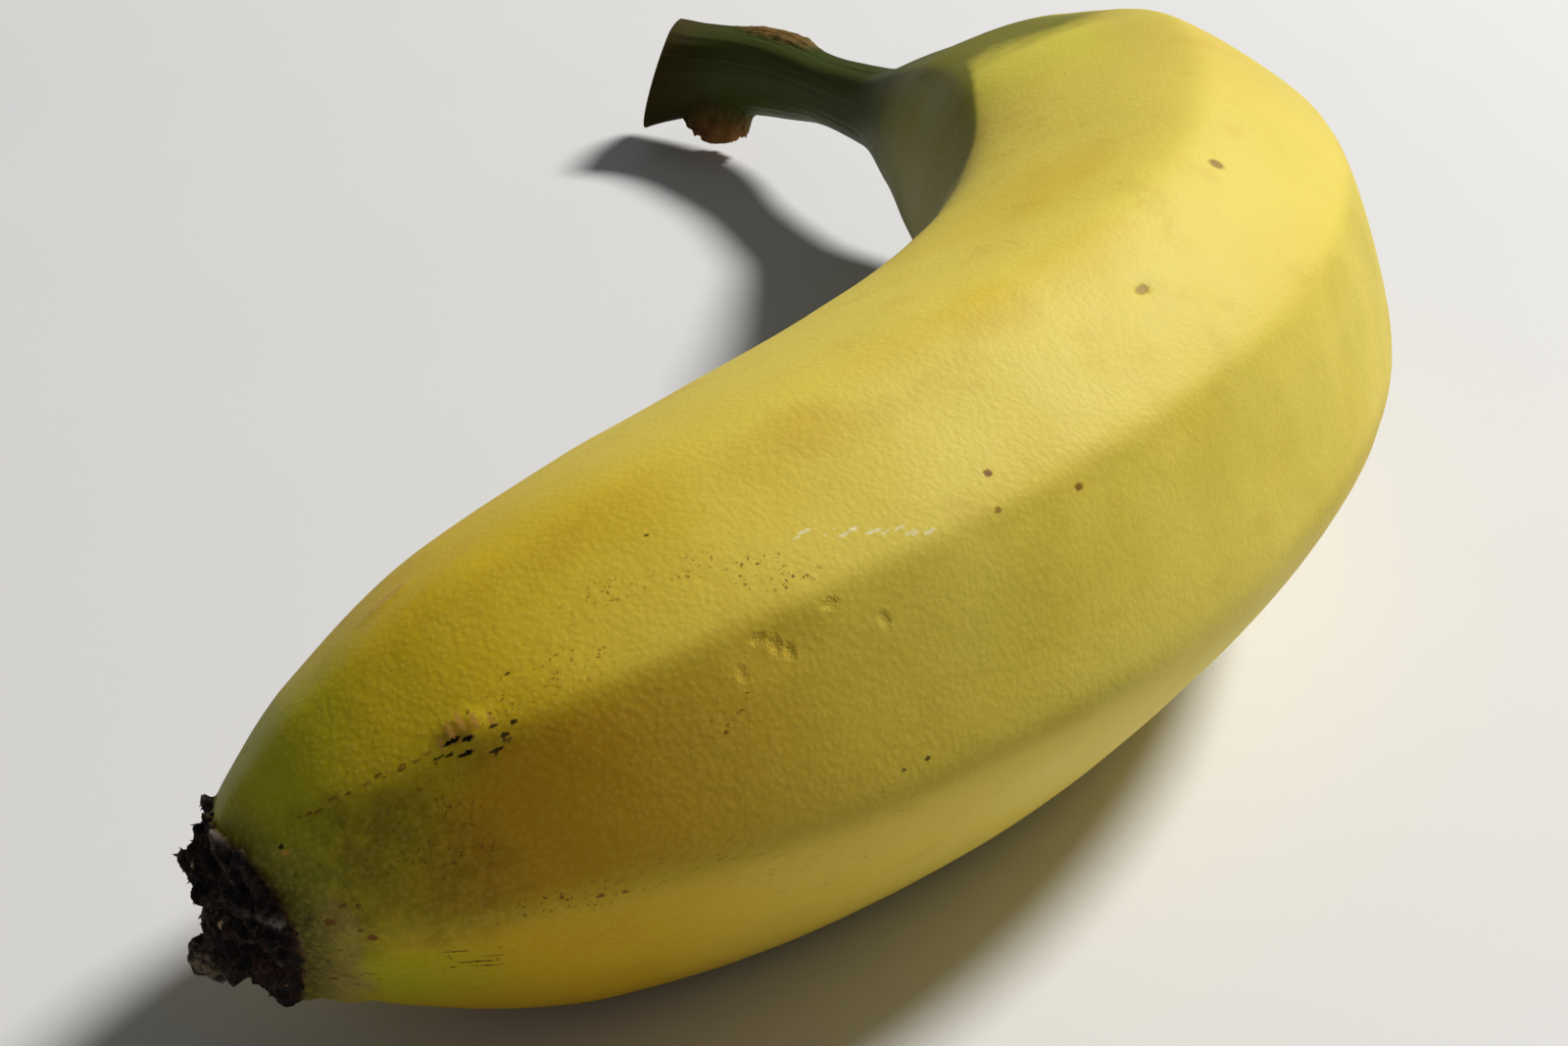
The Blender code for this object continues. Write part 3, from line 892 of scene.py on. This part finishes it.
def tipFrame():
    # at the line's start: where it is, and the directions along, out of the bend and up
    spots = walkGrowthLine()
    ahead = (spots[1] - spots[0]).normalized()
    up = layDown() @ Vector((0, 0, 1))
    return spots[0], ahead, ahead.cross(up), up


def outputTree(tree, geometry, material):
    # the last steps of growing a piece that has one finish
    whole = addNode(tree, "GeometryNodeRealizeInstances")
    feed(tree, whole.inputs[0], geometry)
    finished = addNode(tree, "GeometryNodeSetMaterial")
    feed(tree, finished.inputs["Geometry"], whole.outputs[0])
    feed(tree, finished.inputs["Material"], material)
    feed(tree, addNode(tree, "NodeGroupOutput").inputs[0], finished.outputs[0])


def stubTree():
    tree = bpy.data.node_groups.new("growStub", "GeometryNodeTree")
    addInput(tree, "Base", "NodeSocketGeometry")
    addInput(tree, "Length", "NodeSocketFloat", blossomEnd["stubLength"])
    addInput(tree, "Radius", "NodeSocketFloat", blossomEnd["stubRadius"])
    addInput(tree, "Finish", "NodeSocketMaterial")
    tree.interface.new_socket(name="Stub", in_out="OUTPUT", socket_type="NodeSocketGeometry")
    given = addNode(tree, "NodeGroupInput").outputs
    rod = addNode(tree, "GeometryNodeMeshCylinder")
    for name, count in (("Vertices", 40), ("Side Segments", 26), ("Fill Segments", 8)):
        rod.inputs[name].default_value = count
    feed(tree, rod.inputs["Radius"], given["Radius"])
    feed(tree, rod.inputs["Depth"], given["Length"])
    spot = addNode(tree, "GeometryNodeInputPosition").outputs[0]
    parts = partsOf(tree, spot)
    high = calc(tree, "DIVIDE", parts["Z"], times(tree, given["Length"], 0.5))
    # thin where it grew out, thick and rounded over at its broken end
    brokenEnd = ramp(tree, high, 0.55, 1.15, 1.0, 0.45)
    rounding = times(tree, brokenEnd, ramp(tree, high, -1.0, 0.3, 0.72, 1.0))
    wide, deep = times(tree, parts["X"], rounding), times(tree, parts["Y"], rounding)
    rounded = vectorOf(tree, wide, deep, parts["Z"])
    lumps = plus(tree, swing(tree, spot, 700, 0.0005, 2.0), swing(tree, spot, 2300, 0.00022, 3.0, 0.6))
    away = vectorCalc(tree, "SCALE", vectorCalc(tree, "NORMALIZE", spot), lumps)
    moved = addNode(tree, "GeometryNodeSetPosition")
    feed(tree, moved.inputs["Geometry"], rod.outputs["Mesh"])
    feed(tree, moved.inputs["Position"], vectorCalc(tree, "ADD", rounded, away))
    smoothed = addNode(tree, "GeometryNodeSetShadeSmooth")
    feed(tree, smoothed.inputs["Geometry"], moved.outputs[0])
    outputTree(tree, smoothed.outputs[0], given["Finish"])
    return tree


def flakeTree():
    tree = bpy.data.node_groups.new("growFlakes", "GeometryNodeTree")
    addInput(tree, "Skin", "NodeSocketGeometry")
    addInput(tree, "Flakes per square metre", "NodeSocketFloat", blossomEnd["flakes"])
    addInput(tree, "Seed", "NodeSocketInt", blossomEnd["seed"])
    addInput(tree, "Finish", "NodeSocketMaterial")
    tree.interface.new_socket(name="Flakes", in_out="OUTPUT", socket_type="NodeSocketGeometry")
    given = addNode(tree, "NodeGroupInput").outputs
    named = addNode(tree, "GeometryNodeInputNamedAttribute", data_type="FLOAT")
    named.inputs["Name"].default_value = "crust"
    spread = addNode(tree, "GeometryNodeDistributePointsOnFaces")
    feed(tree, spread.inputs["Mesh"], given["Skin"])
    feed(tree, spread.inputs["Selection"], calc(tree, "GREATER_THAN", named.outputs[0], 0.3))
    feed(tree, spread.inputs["Density"], given["Flakes per square metre"])
    feed(tree, spread.inputs["Seed"], given["Seed"])
    flake = addNode(tree, "GeometryNodeMeshCone")
    for name, amount in (("Vertices", 5), ("Side Segments", 3), ("Radius Top", 0.12), ("Depth", 1.0)):
        flake.inputs[name].default_value = amount
    flake.inputs["Radius Bottom"].default_value = 0.5
    placed = addNode(tree, "GeometryNodeInstanceOnPoints")
    feed(tree, placed.inputs["Points"], spread.outputs["Points"])
    feed(tree, placed.inputs["Instance"], flake.outputs["Mesh"])
    feed(tree, placed.inputs["Rotation"], spread.outputs["Rotation"])
    sizes = addNode(tree, "FunctionNodeRandomValue", data_type="FLOAT_VECTOR")
    small, large = blossomEnd["flakeSize"]
    sizes.inputs[0].default_value = (small, small * 0.6, small)
    sizes.inputs[1].default_value = (large, large * 0.6, large * 0.9)
    feed(tree, sizes.inputs["Seed"], given["Seed"])
    feed(tree, placed.inputs["Scale"], sizes.outputs[0])
    tilt = addNode(tree, "FunctionNodeRandomValue", data_type="FLOAT_VECTOR")
    tilt.inputs[0].default_value = (-1.0, -1.0, -3.1)
    tilt.inputs[1].default_value = (1.0, 1.0, 3.1)
    turned = addNode(tree, "GeometryNodeRotateInstances")
    feed(tree, turned.inputs["Instances"], placed.outputs[0])
    feed(tree, turned.inputs["Rotation"], tilt.outputs[0])
    outputTree(tree, turned.outputs[0], given["Finish"])
    return tree


def growFrom(source, name, tree, inputs):
    # runs a tree on a throwaway object that holds the source's mesh
    data = source.data.copy() if source else bpy.data.meshes.new(name)
    grower = bpy.data.objects.new(name, data)
    bpy.context.scene.collection.objects.link(grower)
    grow = grower.modifiers.new(name, "NODES")
    grow.node_group = tree
    for key, value in inputs.items():
        setInput(grow, key, value)
    return bake(grower, name)


def growStub(shift):
    piece = growFrom(None, "banana_style_stub", stubTree(), {"Finish": driedFinish("styleStub")})
    start, ahead, outward, up = tipFrame()
    out, over, past = blossomEnd["stubOut"], blossomEnd["stubUp"], blossomEnd["stubPast"]
    middle = start + (outward * out + up * over - ahead * past) * mm
    facing = (-ahead).to_track_quat("Z", "Y").to_matrix().to_4x4()
    tiltX, tiltY = (math.radians(angle) for angle in blossomEnd["stubTilt"])
    tilt = Matrix.Rotation(tiltX, 4, "X") @ Matrix.Rotation(tiltY, 4, "Y")
    piece.data.transform(Matrix.Translation(middle + shift) @ facing @ tilt)
    return piece


# floor, light and camera

studio = {
    # metres and watts
    "floorSize": 4.0, "floorColour": colour(0.74, 0.74, 0.74), "floorShade": colour(0.72, 0.72, 0.725),
    "keyPlace": (0.73, -0.81, 1.18), "keySize": 0.36, "keyPower": 30.5, "keyTint": (1.0, 0.985, 0.96),
    "sky": colour(1.0, 0.99, 0.97), "skyStrength": 0.115,
}

viewpoint = {
    "place": (-0.14605, -0.00357, 0.08277), "lens": 43.777,
    "heading": 5.773, "down": 31.795, "roll": 0.484,     # degrees
}


def makeFloor():
    bpy.ops.mesh.primitive_plane_add(size=studio["floorSize"])
    floor = bpy.context.object
    floor.name = "floor"
    finish, tree, shader = startFinish("palePaper")
    where = addNode(tree, "ShaderNodeTexCoord").outputs["Object"]
    tint = blend(tree, noise(tree, where, 30, 3.0), studio["floorShade"], studio["floorColour"])
    feed(tree, shader.inputs["Base Color"], tint)
    shader.inputs["Roughness"].default_value = 0.7
    floor.data.materials.append(finish)


def makeKeyLamp():
    data = bpy.data.lights.new("keyLamp", "AREA")
    data.shape = "DISK"
    data.size = studio["keySize"]
    data.energy = studio["keyPower"]
    data.color = studio["keyTint"]
    lamp = bpy.data.objects.new("keyLamp", data)
    lamp.location = studio["keyPlace"]
    lamp.rotation_euler = (-Vector(studio["keyPlace"])).to_track_quat("-Z", "Y").to_euler()
    lamp.visible_camera = False
    bpy.context.scene.collection.objects.link(lamp)


def makeSky():
    world = bpy.data.worlds.new("paleRoom")
    bpy.context.scene.world = world
    world.use_nodes = True
    backdrop = world.node_tree.nodes["Background"]
    backdrop.inputs["Color"].default_value = studio["sky"]
    backdrop.inputs["Strength"].default_value = studio["skyStrength"]


def makeCamera():
    data = bpy.data.cameras.new("camera")
    data.lens = viewpoint["lens"]
    data.clip_start = 0.005
    camera = bpy.data.objects.new("camera", data)
    turned = Matrix.Rotation(math.radians(viewpoint["heading"] - 90), 4, "Z")
    tipped = Matrix.Rotation(math.radians(90 - viewpoint["down"]), 4, "X")
    rolled = Matrix.Rotation(math.radians(viewpoint["roll"]), 4, "Z")
    camera.matrix_world = Matrix.Translation(viewpoint["place"]) @ turned @ tipped @ rolled
    bpy.context.scene.collection.objects.link(camera)
    bpy.context.scene.camera = camera


def claim(piece):
    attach(piece, "root")
    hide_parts("banana")


print("growing the peel")
skin = growPeel(peelFinish(), driedFinish("stemCut"))
shift = settle(skin)

print("drying the blossom end")
flakes = growFrom(skin, "banana_blossom_flakes", flakeTree(), {"Finish": driedFinish("flake")})
stub = growStub(shift)
for piece in (skin, flakes, stub):
    facesOut(piece.data)
    claim(piece)

print("setting the table, the lights and the camera")
makeFloor()
makeSky()
makeKeyLamp()
makeCamera()
bpy.context.scene.view_settings.view_transform = "Standard"
